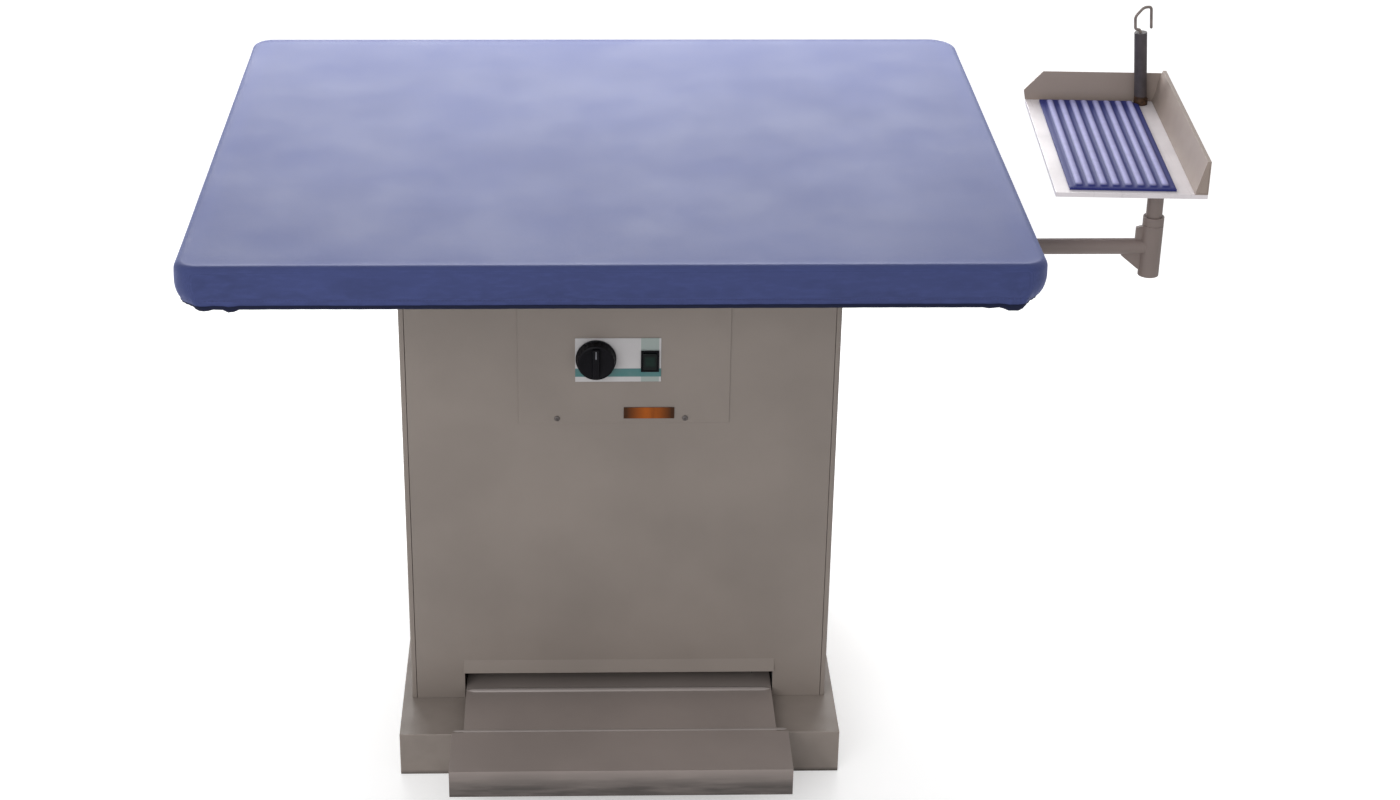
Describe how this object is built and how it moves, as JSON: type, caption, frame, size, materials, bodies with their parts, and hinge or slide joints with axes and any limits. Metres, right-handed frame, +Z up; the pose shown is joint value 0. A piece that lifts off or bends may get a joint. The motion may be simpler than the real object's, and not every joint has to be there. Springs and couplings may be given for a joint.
{
  "type": "vacuum ironing table",
  "caption": "Padded suction ironing table on a sheet metal cabinet with plinth, foot pedal, heat dial, rocker switch and a swivelling iron rest on a sliding side arm.",
  "frame": {"origin": "on the floor under the middle of the base, at the centre of floor_face", "axes": "+X to the user's right, towards the iron rest; +Y away from the user, who stands at the pedal; +Z up"},
  "size_m": [1.3415, 0.906, 1.0448],
  "materials": {
    "taupe_paint": "satin powder coat, warm grey",
    "dark_taupe": "satin powder coat, darker warm grey",
    "blue_cloth": "matt woven cloth",
    "foam": "open cell padding",
    "zinc": "zinc plated sheet",
    "steel": "bright steel",
    "heater_steel": "dark heated steel",
    "copper": "drawn copper",
    "aluminium": "cast",
    "black_plastic": "fine grain",
    "green_black": "clear green tint",
    "label_white": "printed plate, plain",
    "orange": "plain plate",
    "black_rubber": "moulded",
    "grey_plastic": "moulded",
    "white_paint": "satin powder coat, near white",
    "blue_silicone": "moulded silicone, ribbed"
  },
  "bodies": {
    "table": {"base_plinth": "taupe_paint", "cabinet_left_side": "taupe_paint", "cabinet_right_side": "taupe_paint", "front_panel": "taupe_paint", "rear_panel": "taupe_paint", "control_panel": "taupe_paint", "table_bracket_left": "dark_taupe", "table_bracket_right": "dark_taupe", "fan_housing": "dark_taupe", "fan_cover": "dark_taupe", "exhaust_grille": "dark_taupe", "rest_socket": "dark_taupe", "cover": "blue_cloth", "foam_pad": "foam", "perforated_plate": "zinc", "vacuum_box": "zinc", "box_rib_front": "zinc", "box_rib_rear": "zinc", "floor_plate": "zinc", "pedal_bracket_left": "zinc", "pedal_bracket_right": "zinc", "suction_duct": "zinc", "valve_housing": "zinc", "fan_shelf": "zinc", "exhaust_duct": "zinc", "control_screw_left": "steel", "control_screw_right": "steel", "pedal_shaft": "steel", "pedal_return_spring": "steel", "heating_element": "heater_steel", "thermostat_bulb": "copper", "motor_body": "aluminium", "switch_body": "black_plastic", "microswitch_body": "black_plastic", "cable_gland": "black_plastic", "label_plate": "label_white", "badge_plate": "orange", "fan_buffer_front_left": "black_rubber", "fan_buffer_front_right": "black_rubber", "fan_buffer_rear": "black_rubber", "thermostat_body": "grey_plastic", "relay_box": "grey_plastic"},
    "pedal": {"pedal": "taupe_paint"},
    "valve_link": {"valve_link_rod": "steel"},
    "valve": {"valve_flap": "zinc"},
    "switch_plunger": {"microswitch_plunger": "grey_plastic"},
    "rotor": {"impeller": "aluminium", "motor_shaft": "steel"},
    "knob": {"thermostat_knob": "black_plastic"},
    "rocker": {"rocker_button": "green_black"},
    "rest_arm": {"rest_arm": "taupe_paint"},
    "socket_clamp": {"socket_clamp_knob": "black_plastic"},
    "sleeve_clamp": {"sleeve_clamp_knob": "black_plastic"},
    "rest_swivel": {"rest_collar": "dark_taupe"},
    "rest_tray": {"rest_post": "taupe_paint", "rest_tray": "white_paint", "rest_guard": "taupe_paint", "rest_mat": "blue_silicone", "holder_column": "black_plastic"},
    "holder_loop": {"holder_loop": "steel"}
  },
  "joints": [
    {"name": "pedal_press", "type": "hinge", "parent": "table", "child": "pedal", "pos_m": [0, -0.132, 0.092], "axis": [1, 0, 0], "range_deg": [0, 4], "stiffness_Nm_per_rad": 60, "springref_deg": -5.73, "deforming": ["pedal_return_spring"]},
    {"name": "valve_turn", "type": "hinge", "parent": "table", "child": "valve", "pos_m": [0, 0.018, 0.5102], "axis": [1, 0, 0], "range_deg": [0, 60]},
    {"name": "link_lift", "type": "slide", "parent": "table", "child": "valve_link", "axis": [0, 0, 1], "range_m": [0, 0.01116]},
    {"name": "switch_press", "type": "slide", "parent": "table", "child": "switch_plunger", "axis": [0, 0, 1], "range_m": [0, 0.0021]},
    {"name": "rotor_spin", "type": "hinge", "parent": "table", "child": "rotor", "pos_m": [0, 0.018, 0.4], "axis": [0, 0, 1], "continuous": true},
    {"name": "knob_turn", "type": "hinge", "parent": "table", "child": "knob", "pos_m": [-0.0334, -0.2192, 0.6202], "axis": [0, -1, 0], "range_deg": [-270, 0]},
    {"name": "rocker_tip", "type": "hinge", "parent": "table", "child": "rocker", "pos_m": [0.0407, -0.2189, 0.6162], "axis": [-1, 0, 0], "range_deg": [0, 9]},
    {"name": "arm_slide", "type": "slide", "parent": "table", "child": "rest_arm", "axis": [1, 0, 0], "range_m": [-0.07, 0.05]},
    {"name": "socket_clamp_turn", "type": "hinge", "parent": "table", "child": "socket_clamp", "pos_m": [0.41, -0.182, 0.745], "axis": [0, 0, 1], "range_deg": [-180, 0]},
    {"name": "sleeve_clamp_turn", "type": "hinge", "parent": "rest_arm", "child": "sleeve_clamp", "pos_m": [0.724, -0.157, 0.7435], "axis": [0, 1, 0], "range_deg": [-180, 0]},
    {"name": "rest_turn", "type": "hinge", "parent": "rest_arm", "child": "rest_swivel", "pos_m": [0.724, -0.182, 0.808], "axis": [0, 0, 1], "range_deg": [-120, 120]},
    {"name": "rest_height", "type": "slide", "parent": "rest_swivel", "child": "rest_tray", "axis": [0, 0, 1], "range_m": [-0.03, 0.06]},
    {"name": "loop_turn", "type": "hinge", "parent": "rest_tray", "child": "holder_loop", "pos_m": [0.73168, 0.02656, 0.99992], "axis": [-0.087, 0.0046, 0.9962], "continuous": true}
  ],
  "couplings": [
    {"joint": "valve_turn", "follows": "pedal_press", "ratio": 15},
    {"joint": "link_lift", "follows": "pedal_press", "m_per_rad": 0.15965},
    {"joint": "switch_press", "follows": "pedal_press", "m_per_rad": 0.03}
  ]
}
